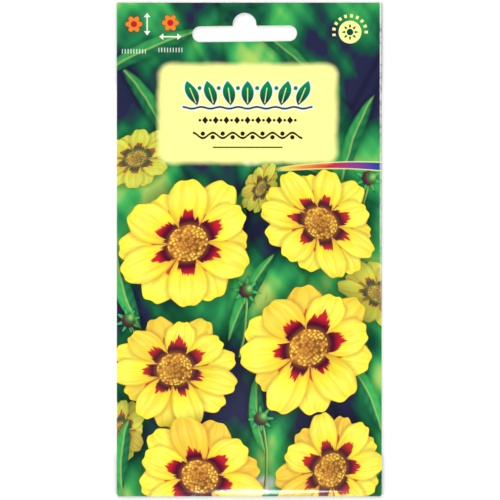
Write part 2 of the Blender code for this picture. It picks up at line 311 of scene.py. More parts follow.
class Press:
    """The node tree of a material or a world, with one method for any node and short ones for some."""

    def __init__(self, name, kind="materials", shader="Principled BSDF"):
        self.material = getattr(bpy.data, kind).new(name)
        self.material.use_nodes = True
        self.nodes = self.material.node_tree.nodes
        self.links = self.material.node_tree.links
        self.shader = self.nodes[shader]

    def node(self, kind, settings=None, sockets=None):
        """Adds a node: its settings first, then the values and links of its sockets."""
        made = self.nodes.new(kind)
        for name, value in (settings or {}).items():
            if name == "stops":
                self.set_stops(made.color_ramp, value)
            elif name == "points":
                self.set_points(made.mapping, value)
            else:
                setattr(made, name, value)
        for name, value in (sockets or {}).items():
            self.feed(made.inputs[name], value)
        return made

    def set_stops(self, ramp, stops):
        """Gives a colour ramp its stops."""
        while len(ramp.elements) < len(stops):
            ramp.elements.new(0.5)
        for element, (place, colour) in zip(ramp.elements, stops):
            element.position = place
            element.color = (*colour, 1)

    def set_points(self, mapping, points):
        """Gives a float curve its points."""
        curve = mapping.curves[0]
        while len(curve.points) < len(points):
            curve.points.new(0.5, 0.5)
        for point, place in zip(curve.points, points):
            point.location = place
        mapping.update()

    def feed(self, socket, value):
        """Links a socket, or gives it a constant."""
        if isinstance(value, Ink):
            value = value.socket
        if isinstance(value, bpy.types.NodeSocket):
            self.links.new(value, socket)
        elif socket.type == "RGBA" and len(value) == 3:
            socket.default_value = (*value, 1)
        else:
            socket.default_value = value

    def maths(self, operation, first, second=None):
        """A Math node on numbers."""
        sockets = {0: first} if second is None else {0: first, 1: second}
        made = self.node("ShaderNodeMath", {"operation": operation}, sockets)
        return Ink(self, made.outputs[0])

    def mix(self, share, first, second, kind="RGBA"):
        """first where share is 0 and second where it is 1, as colours, vectors or numbers."""
        low, high, out = {"FLOAT": (2, 3, 0), "VECTOR": (4, 5, 1), "RGBA": (6, 7, 2)}[kind]
        made = self.node("ShaderNodeMix", {"data_type": kind}, {0: share, low: first, high: second})
        return made.outputs[out]

    def scaled(self, colour, factor):
        """A colour made darker or lighter."""
        made = self.node("ShaderNodeVectorMath", {"operation": "SCALE"}, {0: colour, "Scale": factor})
        return made.outputs[0]

    def ramp(self, value, stops):
        """A colour ramp."""
        return self.node("ShaderNodeValToRGB", {"stops": stops}, {"Fac": value}).outputs["Color"]

    def vector(self, x, y, z=0.0):
        """Three numbers as a vector."""
        return self.node("ShaderNodeCombineXYZ", None, {"X": x, "Y": y, "Z": z}).outputs[0]

    def noise(self, place, scale, detail=2.0, rough=0.5):
        """A noise texture of about 0 to 1 round 0.5."""
        return self.node(
            "ShaderNodeTexNoise", None,
            {"Vector": place, "Scale": scale, "Detail": detail, "Roughness": rough},
        )

    def level(self, place, scale, detail=2.0, rough=0.5):
        """The noise texture's number."""
        return Ink(self, self.noise(place, scale, detail, rough).outputs["Fac"])

    def split(self, vector):
        """A vector's three numbers."""
        made = self.node("ShaderNodeSeparateXYZ", None, {0: vector})
        return [Ink(self, made.outputs[i]) for i in range(3)]

    def length(self, x, y):
        """Distance from the origin."""
        made = self.node("ShaderNodeVectorMath", {"operation": "LENGTH"}, {0: self.vector(x, y)})
        return Ink(self, made.outputs["Value"])

    def place(self):
        """The piece's own place, in millimetres."""
        return self.scaled(self.node("ShaderNodeTexCoord").outputs["Object"], 1 / MM)

    def bump(self, height, strength, depth):
        """The normal of a surface that is uneven by this height."""
        return self.node(
            "ShaderNodeBump", None, {"Strength": strength, "Distance": depth, "Height": height}
        ).outputs["Normal"]

    def nearest(self, place, spots):
        """The place seen from the nearest spot, in that spot's sizes, how far out it is, and its number."""
        best, out, number = None, None, None
        for i, spot in enumerate(spots, 1):
            seen = self.node("ShaderNodeMapping", {"vector_type": "TEXTURE"}, {
                "Vector": place,
                "Location": (spot.x, spot.y, 0),
                "Rotation": (0, 0, math.radians(spot.turn)),
                "Scale": (spot.length, spot.width, 1),
            }).outputs[0]
            away = self.node("ShaderNodeVectorMath", {"operation": "LENGTH"}, {0: seen}).outputs["Value"]
            away = Ink(self, away)
            if best is None:
                best, out, number = seen, away, float(i)
                continue
            closer = out.over(away)
            best = self.mix(closer, best, seen, "VECTOR")
            number = self.mix(closer, number, float(i), "FLOAT")
            out = out.at_most(away)
        along, across, _ = self.split(best)
        return along, across, out, Ink(self, number) if len(spots) > 1 else number

    def angle(self, x, y):
        """Angle round the origin."""
        return self.maths("ARCTAN2", y, x)

    def set(self, **values):
        """Feeds the shader. Underscores in a name stand for spaces."""
        for name, value in values.items():
            self.feed(self.shader.inputs[name.replace("_", " ")], value)


class Sheet:
    """A place on the print, in millimetres from the packet's middle, plain and with a slight wobble."""

    WOBBLE = 0.9

    def __init__(self, press):
        self.place = press.place()
        self.x, self.y, _ = press.split(self.place)
        bend = press.noise(self.place, 0.16, 2.0).outputs["Color"]
        self.bend_x, self.bend_y, _ = [part - 0.5 for part in press.split(bend)]
        self.waved = press.vector(self.x + self.bend_x * self.WOBBLE, self.y + self.bend_y * self.WOBBLE)

    def turned(self, x, y, degrees):
        """The place seen from (x, y) and turned."""
        turn = math.radians(degrees)
        dx = self.x - x
        dy = self.y - y
        return dx * math.cos(turn) + dy * math.sin(turn), dy * math.cos(turn) - dx * math.sin(turn)


class Spot:
    """Where a drawing sits, in millimetres, the way it points, and its half length and width."""

    def __init__(self, x, y, turn, length, width):
        self.x = x
        self.y = y
        self.turn = turn
        self.length = length
        self.width = width


def flower_at(x, y, radius, turn, squash):
    """A flower, seen a little from the side."""
    return Spot(x, y, turn, radius, radius * squash)


NEAR_FLOWERS = (
    flower_at(-18.5, 2.0, 23.0, 25, 0.86),
    flower_at(17.8, -29.5, 22.5, 40, 0.88),
    flower_at(-15.0, -68.5, 21.0, -12, 0.88),
)

MIDDLE_FLOWERS = (
    flower_at(21.5, 8.0, 20.0, -35, 0.82),
    flower_at(-22.5, -36.0, 20.0, 8, 0.9),
    flower_at(24.5, -66.5, 20.0, 60, 0.84),
)

FAR_FLOWERS = (
    flower_at(-34.0, 27.5, 12.5, 20, 0.72),
    flower_at(39.0, -13.5, 13.5, -30, 0.7),
    flower_at(3.5, 18.5, 9.0, 65, 0.6),
    flower_at(-39.0, -55.0, 12.0, 75, 0.7),
)

# Leaves: far ones first, each from its middle
FAR_LEAVES = (
    Spot(-30, 60, 24, 18, 2.8), Spot(10, 60, -38, 16, 2.6), Spot(32, 33, 70, 15, 2.6),
    Spot(-31, 44, -58, 14, 2.7), Spot(22, 22, -25, 14, 2.2), Spot(-3, 8, 80, 14, 2.5),
)
NEAR_LEAVES = (
    Spot(-37, -13, 108, 12, 2.8), Spot(0, -14, 62, 15, 2.7), Spot(35, -43, -64, 13, 2.7),
    Spot(-38, -62, 85, 11, 2.5), Spot(3, -50, 96, 13, 2.6), Spot(37, -73, 70, 10, 2.4),
)

# Buds: each points down its own stem
BUDS = (
    Spot(-1.0, -12.5, 262, 3.4, 3.4),
    Spot(36.0, 21.5, 250, 3.5, 3.5),
    Spot(-36.5, -21.5, 285, 3.2, 3.2),
    Spot(3.5, -51.0, 272, 3.3, 3.3),
)

# Pale blurred spots, one of them low near the foot
PALE_SPOTS = (
    Spot(4.0, -71.0, 20, 5.0, 3.6), Spot(-36.5, -54.0, 70, 4.0, 3.0), Spot(0.5, 27.0, 0, 3.4, 2.6),
)


def paint_ground(press, sheet, inks):
    """Blurred leaves behind the flowers, a little lighter towards the top."""
    wide = press.level(sheet.place, 0.03, 1.0)
    along, across = sheet.turned(0, 0, 62)
    streaks = press.level(press.vector(along * 0.022, across * 0.1, 3.0), 1.0, 1.6)
    along, across = sheet.turned(0, 0, 128)
    crossing = press.level(press.vector(along * 0.026, across * 0.17, 9.0), 1.0, 1.2)
    lift = sheet.y.soft(10.0, 60.0) * 0.14
    tone = (wide * 1.3 + streaks * 0.65 + crossing * 0.4 - 1.175) * 2.3 + 0.38 + lift
    return press.ramp(tone, [
        (0.0, inks.night), (0.2, inks.pine), (0.46, inks.leaf), (0.72, inks.meadow), (1.0, inks.lime)
    ])


def paint_leaves(press, sheet, inks, ground, leaves, light):
    """Long bowed leaves, each with a pale midrib and one side in shade."""
    along, across, _, number = press.nearest(sheet.waved, leaves)
    room = (1 - along * along).at_least(0.0)
    across = across - room * 0.55 + 0.3
    inside = room ** 0.8 - abs(across)
    side = across.soft(-0.25, 0.25)
    rib = abs(across).soft(0.17, 0.04)
    veins = ((along * 24.0 - abs(across) * 4.5).sin() * 0.5 + 0.5) * 0.14
    dark = press.mix(0.4, inks.pine, inks.leaf)
    body = press.mix(side * (0.35 + 0.5 * light) + veins, dark, inks.meadow)
    body = press.mix(rib * 0.5, body, inks.lime)
    luck = (number * 2.4).sin() * 0.1
    body = press.scaled(body, inside.soft(0.0, 0.5) * 0.3 + luck + (0.55 + 0.25 * light))
    ground = press.scaled(ground, 1 - inside.soft(-0.7, 0.1) * 0.35)
    return press.mix(inside.soft(0.0, 0.34 - 0.2 * light), ground, body)


def paint_buds(press, sheet, inks, ground):
    """Round buds in a star of narrow sepals, each on a bowed stem and lit from one side."""
    along, across, out, _ = press.nearest(sheet.waved, BUDS)
    bow = across - (along * (7.0 - along)).at_least(0.0) * 0.03
    stem = abs(bow).soft(0.15, 0.09) * along.soft(0.3, 0.6) * along.soft(7.0, 6.0)
    ground = press.mix(stem, ground, press.mix(bow.soft(-0.14, 0.14), inks.pine, inks.lime))
    star = abs((press.angle(along, across) * 4.0).cos())
    sepals = star ** 5.0 * 0.5 + 0.72 - out
    ground = press.scaled(ground, 1 - sepals.soft(-0.4, 0.1) * 0.5)
    green = press.mix(star.soft(0.5, 1.0), inks.pine, inks.meadow)
    ground = press.mix(sepals.soft(0.0, 0.1), ground, green)
    lit = 1 - press.length(along + 0.25, across - 0.3)
    body = press.ramp(lit, [(0.0, inks.night), (0.35, inks.bark), (0.62, inks.leaf), (1.0, inks.lime)])
    body = press.mix(star.soft(0.25, 0.0) * 0.6, body, inks.night)
    return press.mix((0.72 - out).soft(0.0, 0.12), ground, body)


def paint_pale_spots(press, sheet, inks, ground):
    """Pale blurred spots with an amber middle."""
    _, _, out, _ = press.nearest(sheet.waved, PALE_SPOTS)
    ground = press.mix(out.soft(1.0, 0.35) * 0.85, ground, inks.paper)
    return press.mix(out.soft(0.42, 0.1) * 0.8, ground, inks.amber)


# Half width of a petal along its length, as shares
PETAL_OUTLINE = (
    (0.0, 0.3), (0.25, 0.5), (0.5, 0.86), (0.72, 1.0), (0.88, 0.86), (0.97, 0.44), (1.0, 0.0),
)


class Petals:
    """One ring of a flower's petals, as numbers across the print."""

    def __init__(self, press, out, round_angle, number, count, ring, blur):
        pitch = 2 * math.pi / count
        turns = round_angle / pitch + number * 0.61 + (ring * 0.5 + 7.3)
        cell = turns.floor()
        luck = press.node(
            "ShaderNodeTexWhiteNoise", {"noise_dimensions": "1D"},
            {"W": cell.wrapped(count) + number * 17.3 + ring * 5.7},
        ).outputs["Color"]
        self.long, lean, self.light = press.split(luck)
        middle = turns - cell - 0.5 + (lean - 0.5) * out * 0.15
        self.tip = out / (1.0 - self.long * 0.2) * (1 + (middle * 27.0).cos() * 0.02)
        outline = press.node("ShaderNodeFloatCurve", {"points": PETAL_OUTLINE}, {"Value": self.tip})
        half = Ink(press, outline.outputs[0]) * (pitch * 0.27)
        side = middle * out * pitch
        self.inside = half - abs(side)
        self.across = side / half.at_least(0.01)
        self.veins = press.level(press.vector(self.tip * 1.6, self.across * 4.5, lean * 90.0), 1.0, 2.0)
        self.mask = self.inside.soft(0.0, blur)


def petal_colour(press, inks, out, petals, shade):
    """Colour of a ring of petals: lemon tips, pleats along them, warm shade, a dark eye at their feet."""
    body = press.ramp(petals.tip, [
        (0.3, inks.amber), (0.5, inks.yellow), (0.78, inks.lemon), (1.0, inks.yellow)
    ])
    warm = petals.light.soft(0.4, 0.0) * 0.6 + petals.veins.soft(0.52, 0.34) * 0.3
    body = press.mix(warm, body, inks.amber)
    body = press.mix(petals.inside.soft(0.05, 0.0) * 0.6, body, inks.fold)
    pleats = (petals.across * 9.4).cos() * 0.04
    ridge = (petals.across + 0.25).soft(1.1, -0.2) * 0.12
    tip = petals.tip.soft(0.3, 0.75) * 0.08
    light = pleats + ridge + petals.light * 0.1 + tip + petals.veins * 0.3 + 0.68
    reach = 0.5 - abs(petals.across) ** 1.5 * 0.26 + (petals.veins - 0.5) * 0.3 + petals.long * 0.06
    dark = press.mix(out.soft(0.46, 0.34), inks.crimson, inks.maroon)
    body = press.mix((reach - out).soft(0.0, 0.05), body, dark)
    body = press.scaled(body, light)
    return press.mix(shade, press.mix(0.5, inks.fold, inks.bark), body)


def paint_disc(press, inks, along, across, out):
    """The flower's disc: a dome of small florets with pale tips round its rim."""
    cells = press.node(
        "ShaderNodeTexVoronoi", {"voronoi_dimensions": "2D"},
        {"Vector": press.vector(along, across), "Scale": 22.0, "Randomness": 0.75},
    )
    near = Ink(press, cells.outputs["Distance"])
    luck = press.split(cells.outputs["Color"])[0]
    rim = out.soft(0.08, 0.22)
    light = (1 - near * 0.95) * (rim * 0.35 + 0.8) + (across - along) * 0.5
    body = press.mix(light, inks.bark, inks.floret)
    tips = luck.over(0.55) * rim * near.soft(0.5, 0.1)
    body = press.mix(tips * 0.8, body, inks.lemon)
    return press.mix(luck.soft(0.26, 0.14) * 0.6, body, inks.bark)


def paint_flowers(press, sheet, inks, ground, flowers, count, haze):
    """Flowers of two rings of petals round a disc, with their shadows on what lies behind them."""
    along, across, out, number = press.nearest(sheet.waved, flowers)
    round_angle = press.angle(along, across)
    blur = 0.018 + 0.07 * haze
    ground = press.scaled(ground, 1 - out.soft(1.14, 0.78) * 0.6)
    under = Petals(press, out, round_angle, number, count / 2, 0, blur)
    above = Petals(press, out, round_angle, number, count / 2, 1, blur)
    shade = 1 - above.inside.soft(-0.08, 0.01) * 0.42
    colour = petal_colour(press, inks, out, under, shade)
    shade = 1 - out.soft(0.34, 0.25) * 0.35
    colour = press.mix(above.mask, colour, petal_colour(press, inks, out, above, shade))
    disc = paint_disc(press, inks, along, across, out)
    edge = sheet.bend_x * 0.03 + 0.275
    colour = press.mix((edge - out).soft(0.0, 0.014 + 0.05 * haze), colour, disc)
    colour = press.mix(haze * 0.45, colour, inks.leaf)
    return press.mix(under.mask.at_least(above.mask), ground, colour)


# The label's middle, its half width and half height, and the radius of its corners
LABEL = (-0.5, 41.0, 26.5, 14.5)
LABEL_CORNER = 3.0


def paint_label(press, sheet, inks, ground):
    """The cream label with its soft edge."""
    x, y, half_width, half_height = LABEL
    across = (abs(sheet.x - x) - half_width + LABEL_CORNER).at_least(0.0)
    up = (abs(sheet.y - y) - half_height + LABEL_CORNER).at_least(0.0)
    away = press.length(across, up) + sheet.bend_x * 1.2
    return press.mix(away.soft(4.6, 2.2), ground, inks.cream)


def paint_garland(press, sheet, inks, ground):
    """Seven upright leaves that fan out to both sides, with berries between them, over a waved line."""
    pitch, half_height, half_width = 5.6, 3.7, 1.85
    dx = sheet.x - LABEL[0]
    dy = sheet.y - (LABEL[1] + 6.2)
    cell = (dx / pitch + 0.5).floor().at_least(-3.0).at_most(3.0)
    lean = dx - cell * pitch - dy * cell * 0.14
    room = 1 - (dy / half_height) * (dy / half_height)
    leaf = room * half_width - abs(lean)
    rib = (0.16 - abs(lean)).at_most(2.3 - abs(dy + 0.7))
    gap = (dx / pitch).floor().at_least(-3.0).at_most(2.0) + 0.5
    berry = 0.62 - press.length(dx - gap * (pitch + 0.2), dy - 1.5)
    line = 0.3 - abs(dy + (half_height + 0.75) + (dx * 1.122).cos() * 0.25)
    shape = leaf.at_least(berry).at_least(line.at_most(3.5 * pitch - abs(dx)))
    ink = press.mix(dy.soft(3.4, -3.2), inks.jade, inks.bottle)
    ground = press.mix(shape.soft(-0.55, -0.35), ground, inks.paper)
    ground = press.mix(shape.soft(-0.07, 0.07), ground, ink)
    return press.mix(rib.soft(-0.06, 0.06) * 0.8, ground, inks.cream)


def paint_rules(press, sheet, inks, ground):
    """A row of lozenges and dots, a waved rule with berries in its bends, and a thin line below."""
    dx = sheet.x - LABEL[0]
    row = sheet.y - (LABEL[1] - 2.0)
    foot = dx - (dx / 3.2 + 0.5).floor().at_least(-4.0).at_most(4.0) * 3.2
    lozenge = 1.15 - abs(foot) * 1.25 - abs(row)
    dot = 0.42 - press.length(abs(foot) - 1.6, row)
    wave_y = sheet.y - (LABEL[1] - 6.6)
    step = 3.0
    turn = math.pi / step
    wave = (0.34 - abs(wave_y - (dx * turn).sin() * 0.8)).at_most(5.5 * step - abs(dx))
    near = (dx / step).floor().at_least(-5.0).at_most(4.0) * step + step / 2
    berry = 0.66 - press.length(dx - near, wave_y + (near * turn).sin() * 0.55)
    line = (0.2 - abs(sheet.y - (LABEL[1] - 10.2))).at_most(10.5 - abs(dx))
    shape = lozenge.at_least(dot).at_least(wave).at_least(berry).at_least(line)
    return press.mix(shape.soft(-0.07, 0.07), ground, inks.soot)


def paint_stripe(press, sheet, inks, ground):
    """A tapered stripe that runs through warm and cool colours, with a pale edge."""
    start, end, middle_y = 7.0, 38.0, 24.0
    share = (sheet.x - start) / (end - start)
    curve = sheet.y - middle_y - (share * 2.2).sin() * 1.4
    half = share * 0.75 + 0.35
    inside = half - abs(curve)
    ends = sheet.x.soft(start, start + 5.0)
    ink = press.ramp(share, [
        (0.05, inks.yellow), (0.3, srgb(246, 140, 50)), (0.55, srgb(214, 40, 60)),
        (0.78, srgb(150, 60, 150)), (1.0, srgb(50, 70, 160)),
    ])
    ground = press.mix(inside.soft(-0.45, -0.15) * ends * 0.8, ground, inks.cream)
    return press.mix(inside.soft(-0.1, 0.12) * ends, ground, ink)


def double_arrow(along, across, half, width):
    """A thin arrow with a head at each end, along its own axis."""
    reach = half - abs(along)
    shaft = (width / 2 - abs(across)).at_most(reach - 0.4)
    head = (reach * 0.75 - abs(across)).at_most(1.3 - reach)
    return shaft.at_least(head)


def paint_signs(press, sheet, inks, ground):
    """Two small flowers with arrows and a few ruler ticks, for height and spread."""
    for x, y, upright in ((-34.8, 68.0, True), (-23.8, 68.4, False)):
        dx = sheet.x - x
        dy = sheet.y - y
        out = press.length(dx, dy)
        flower = abs((press.angle(dx, dy) * 3.0).cos()) * 1.0 + 1.6 - out
        ground = press.mix(flower.soft(-0.35, -0.15), ground, inks.bark)
        ground = press.mix(flower.soft(-0.06, 0.06), ground, srgb(240, 136, 48))
        ground = press.mix((0.95 - out).soft(-0.06, 0.06), ground, inks.crimson)
        if upright:
            arrow = double_arrow(dy, dx - 4.0, 3.4, 0.4)
        else:
            arrow = double_arrow(dx, dy + 4.2, 3.4, 0.4)
        tick = abs((dx * 3.6).cos()).soft(0.8, 0.92)
        ruler = tick * abs(dx).soft(3.7, 3.5) * abs(dy + 8.2).soft(0.75, 0.6)
        ground = press.mix(arrow.soft(-0.05, 0.05).at_least(ruler * 0.8), ground, inks.paper)
    return ground


def paint_sun(press, sheet, inks, ground):
    """A pale disc with a small sun on it, and an arc of ticks over it."""
    dx = sheet.x - 30.4
    dy = sheet.y - 65.6
    out = press.length(dx, dy)
    round_angle = press.angle(dx, dy)
    ground = press.mix((3.45 - out).soft(-0.06, 0.08), ground, inks.cream)
    rays = (1.15 + abs((round_angle * 4.0).cos()) ** 3.0 * 1.25) - out
    ring = abs(out - 1.2) - 0.2
    sun = rays.at_most(ring)
    ground = press.mix(sun.soft(-0.06, 0.06), ground, inks.bottle)
    ticks = (round_angle * 17.0).cos() - 0.15
    arc = (0.5 - abs(out - 4.9)).at_most(dy + 1.2)
    mask = arc.soft(-0.06, 0.06) * ticks.soft(-0.15, 0.15)
    return press.mix(mask, ground, inks.cream)


def laminate(press, sheet, colour, pale_line):
    """The clear gloss laminate over the print, with faint scuffs and the paper's slight unevenness."""
    fine = press.level(sheet.place, 0.9, 3.0)
    scuff = press.level(sheet.place, 3.5, 4.0, 0.65)
    wide = press.level(sheet.place, 0.22, 1.0)
    press.set(
        Base_Color=colour,
        Roughness=0.27 + scuff.soft(0.55, 0.8) * 0.12 + pale_line * 0.35,
        Coat_Weight=0.6,
        Coat_Roughness=0.06,
        Coat_IOR=1.45,
        IOR=1.45,
        Specular_IOR_Level=0.12,
        Normal=press.bump(fine * 0.6 + wide * 1.4, 0.12, 0.08 * MM),
    )


def pale_fold_line(press, sheet):
    """Where a pale broken line runs just inside the right fold: there the print turns to the bare paper's
    colour and rougher.
    """
    line_gaps = press.level(press.vector(sheet.x * 1.1, sheet.y * 0.55, 2.0), 1.0, 3.0, 0.7)
    inward = WIDTH / 2 / MM - sheet.x
    band = inward.soft(0.72, 0.5) * inward.soft(0.04, 0.2)
    stretch = sheet.y.soft(-24.0, 6.0) * (sheet.y.soft(30.0, 50.0) * 0.3 + 0.7)
    return band * stretch * (line_gaps.soft(0.36, 0.56) * 0.55 + 0.3)


def front_print():
    """The printed front."""
    inks = bpy.context.scene.packet_inks
    press = Press("front_print")
    sheet = Sheet(press)
    ground = paint_ground(press, sheet, inks)
    # Pale blurred spots with an amber middle, one of them low near the foot.
    ground = paint_pale_spots(press, sheet, inks, ground)
    ground = paint_leaves(press, sheet, inks, ground, FAR_LEAVES, 0.3)
    ground = paint_flowers(press, sheet, inks, ground, FAR_FLOWERS, 12, 0.8)
    ground = paint_leaves(press, sheet, inks, ground, NEAR_LEAVES, 0.8)
    ground = paint_buds(press, sheet, inks, ground)
    ground = paint_flowers(press, sheet, inks, ground, MIDDLE_FLOWERS, 14, 0.1)
    ground = paint_flowers(press, sheet, inks, ground, NEAR_FLOWERS, 12, 0.0)
    ground = paint_stripe(press, sheet, inks, ground)
    ground = paint_label(press, sheet, inks, ground)
    ground = paint_garland(press, sheet, inks, ground)
    ground = paint_rules(press, sheet, inks, ground)
    ground = paint_signs(press, sheet, inks, ground)
    ground = paint_sun(press, sheet, inks, ground)
    # A pale broken line just inside the right fold, in the bare paper's colour and rougher than the rest.
    pale_line = pale_fold_line(press, sheet)
    ground = press.mix(pale_line, ground, inks.paper)
    laminate(press, sheet, ground, pale_line)
    return press.material


def back_print():
    """The printed back: cream stock, a green band at each end, a strip of months and three signs."""
    inks = bpy.context.scene.packet_inks
    press = Press("back_print")
    sheet = Sheet(press)
    across = -sheet.x
    ground = press.mix(press.level(sheet.place, 0.4) * 0.25, srgb(252, 250, 226), srgb(246, 243, 208))
    band = sheet.y.soft(49.6, 50.4)
    leafy = press.level(sheet.place, 0.11, 2.0)
    green = press.mix(leafy.soft(0.35, 0.65), inks.pine, inks.leaf)
    ground = press.mix(band, ground, green)
    ground = press.mix((0.35 - abs(sheet.y - 48.6)).soft(-0.06, 0.06), ground, inks.leaf)
    ground = press.mix(sheet.y.soft(-61.6, -62.4), ground, green)
    strip = paint_months(press, sheet, across, inks, ground)
    signs = paint_care(press, sheet, across, inks, strip)
    laminate(press, sheet, signs, 0.0)
    return press.material


def paint_months(press, sheet, across, inks, ground):
    """Three rows of twelve boxes, some filled, for the months of sowing, planting and bloom."""
    half_strip, pitch = 30.0, 5.0
    share = (across + half_strip) / pitch
    box = share.floor()
    inner = abs(share - box - 0.5)
    inside_strip = (half_strip - abs(across)).soft(-0.05, 0.05)
    rows = ((30.0, 2.5, 5.5, inks.jade), (24.0, 3.5, 6.5, inks.amber), (18.0, 5.5, 9.5, inks.crimson))
    for y, first, last, ink in rows:
        up = abs(sheet.y - y)
        inside = (0.42 - inner).soft(-0.02, 0.02) * (2.1 - up).soft(-0.08, 0.08) * inside_strip
        line = (0.46 - inner).soft(-0.02, 0.02) * (2.3 - up).soft(-0.08, 0.08) * inside_strip
        chosen = (box - (first - 1.0)).over(0.0) * (last - 1.0 - box).over(0.0)
        ground = press.mix(line * (1 - inside) * 0.7, ground, inks.bottle)
        ground = press.mix(inside * chosen, ground, ink)
    return ground


def paint_care(press, sheet, across, inks, ground):
    """Three round signs: full sun, light water, and spread."""
    for x in (-20.0, 0.0, 20.0):
        dx = across - x
        dy = sheet.y + 4.0
        out = press.length(dx, dy)
        ground = press.mix((6.6 - out).soft(-0.06, 0.06), ground, inks.leaf)
        ground = press.mix((6.1 - out).soft(-0.06, 0.06), ground, srgb(252, 250, 226))
        if x < 0:
            shape = (2.0 + abs((press.angle(dx, dy) * 4.0).cos()) ** 4.0 * 2.4) - out
            ink = inks.amber
        elif x == 0:
            narrow = (2.9 - dy) * 0.36
            shape = (2.0 - press.length(dx, dy + 1.4)).at_least((narrow - abs(dx)).at_most(dy + 1.0))
            ink = srgb(60, 130, 190)
        else:
            shape = double_arrow(dx, dy, 4.6, 0.8)
            ink = inks.bottle
        ground = press.mix(shape.soft(-0.06, 0.06), ground, ink)
    return ground


def mottled(name, pattern, colours, bump, roughness):
    """A finish of two colours in a noise pattern that is also uneven and rough by the same pattern."""
    press = Press(name)
    grain = press.level(press.place(), *pattern)
    low, spread = roughness
    press.set(
        Base_Color=press.mix(grain, *colours),
        Roughness=low + grain * spread,
        Normal=press.bump(grain, *bump),
    )
    return press.material


def bare_paper():
    """The sheet's white inner face and its cut edges."""
    white = bpy.context.scene.packet_inks.paper
    grey = [part * 0.86 for part in white]
    return mottled("bare_paper", (6.0, 4.0, 0.7), (grey, white), (0.2, 0.05 * MM), (0.6, 0.25))


def dry_glue():
    """Thin dry glue, a little uneven."""
    colours = (srgb(226, 220, 198), srgb(240, 236, 222))
    return mottled("dry_glue", (0.7, 3.0, 0.5), colours, (0.3, 0.05 * MM), (0.35, 0.2))


def seed_coat():
    """A dark dry seed coat, mottled and rough."""
    colours = (srgb(38, 28, 22), srgb(92, 68, 46))
    return mottled("seed_coat", (5.0, 4.0, 0.7), colours, (0.6, 0.08 * MM), (0.6, 0.25))


def deselect():
    """Deselects everything, so that the next primitive is shaped alone."""
    bpy.ops.object.select_all(action="DESELECT")


def named(name):
    """Names the object that was just added, and its data."""
    made = bpy.context.active_object
    made.name = name
    made.data.name = name
    return made


def apply_modifier(made, modifier):
    """Applies a modifier to its object."""
    bpy.context.view_layer.objects.active = made
    bpy.ops.object.modifier_apply(modifier=modifier.name)


def select(made, chosen, kind="edges"):
    """In edit mode, selects the edges, faces or verts that pass a test, and nothing else."""
    bm = bmesh.from_edit_mesh(made.data)
    for group in (bm.faces, bm.edges, bm.verts):
        for item in group:
            item.select = False
    for item in getattr(bm, kind):
        if chosen(item):
            item.select_set(True)
    bmesh.update_edit_mesh(made.data)


def at(edge, axis, place):
    """Whether both ends of an edge have this coordinate."""
    return all(abs(vert.co[axis] - place) < TINY for vert in edge.verts)


def extrude(dx=0.0, dy=0.0, dz=0.0):
    """Extrudes what is selected by a step."""
    bpy.ops.mesh.extrude_region_move(TRANSFORM_OT_translate={"value": (dx, dy, dz)})


def half_turn(centre, axis):
    """Spins what is selected half round a line, as a fold."""
    bpy.ops.mesh.spin(
        steps=FOLD_STEPS, angle=-math.pi, center=centre, axis=axis, use_auto_merge=False
    )


def smooth(value, low, high):
    """0 below low, 1 above high, and a soft step between them, for numbers and arrays."""
    share = np.clip((value - low) / (high - low), 0, 1)
    return share * share * (3 - 2 * share)


def folded_blank(sizes):
    """The sheet's outer face, folded round flat: lap, left back, fold, front, fold, right back."""
    radius = (2 * sizes.layer + sizes.paper) / 2
    fold_x = WIDTH / 2 - radius
    step_end = -sizes.lap / 2 - LAP_STEP_CLEARANCE
    deselect()
    length = LENGTH - BACK_FOOT_INSET
    middle = ((sizes.lap / 2 + step_end) / 2, FOOT_Y + BACK_FOOT_INSET + length / 2, sizes.layer)
    bpy.ops.mesh.primitive_plane_add(size=1, location=middle)
    sheet = named("printed_sheet_print")
    sheet.scale = (sizes.lap / 2 - step_end, length, 1)
    bpy.ops.object.transform_apply(location=True, rotation=True, scale=True)
    bpy.ops.object.mode_set(mode="EDIT")
    bpy.ops.mesh.select_mode(type="EDGE")
    select(sheet, lambda edge: at(edge, 0, step_end))
    for i in range(STEP_FACES):
        high, low = [1 - smooth(k / STEP_FACES, 0, 1) for k in (i, i + 1)]
        extrude(dx=-LAP_STEP_RUN / STEP_FACES, dz=(low - high) * sizes.layer)
    extrude(dx=-(fold_x + step_end - LAP_STEP_RUN))
    half_turn((-fold_x, 0, radius), (0, 1, 0))
    extrude(dx=2 * fold_x)
    half_turn((fold_x, 0, radius), (0, 1, 0))
    extrude(dx=-fold_x - sizes.lap / 2)
    return sheet, radius, fold_x


def cut_lengths(sheet, axis, length, pieces):
    """Cuts every edge that runs along an axis and has this length into equal pieces."""
    if pieces > MOST_CUTS:
        cut_lengths(sheet, axis, length, 2)
        cut_lengths(sheet, axis, length / 2, round(pieces / 2))
        return

    def chosen(edge):
        run = abs(edge.verts[0].co[axis] - edge.verts[1].co[axis])
        return abs(run - length) < 2 * TINY and run > edge.calc_length() * STRAIGHT

    select(sheet, chosen)
    bpy.ops.mesh.subdivide(number_cuts=pieces - 1, smoothness=0)


def subdivide_long(sheet, axis, face_size):
    """Cuts the edges along an axis into pieces of about this size, each length on its own."""
    bm = bmesh.from_edit_mesh(sheet.data)
    lengths = set()
    for edge in bm.edges:
        run = abs(edge.verts[0].co[axis] - edge.verts[1].co[axis])
        if run > face_size * LONG_EDGE and run > edge.calc_length() * STRAIGHT:
            lengths.add(round(run, 6))
    for length in sorted(lengths):
        cut_lengths(sheet, axis, length, round(length / face_size))


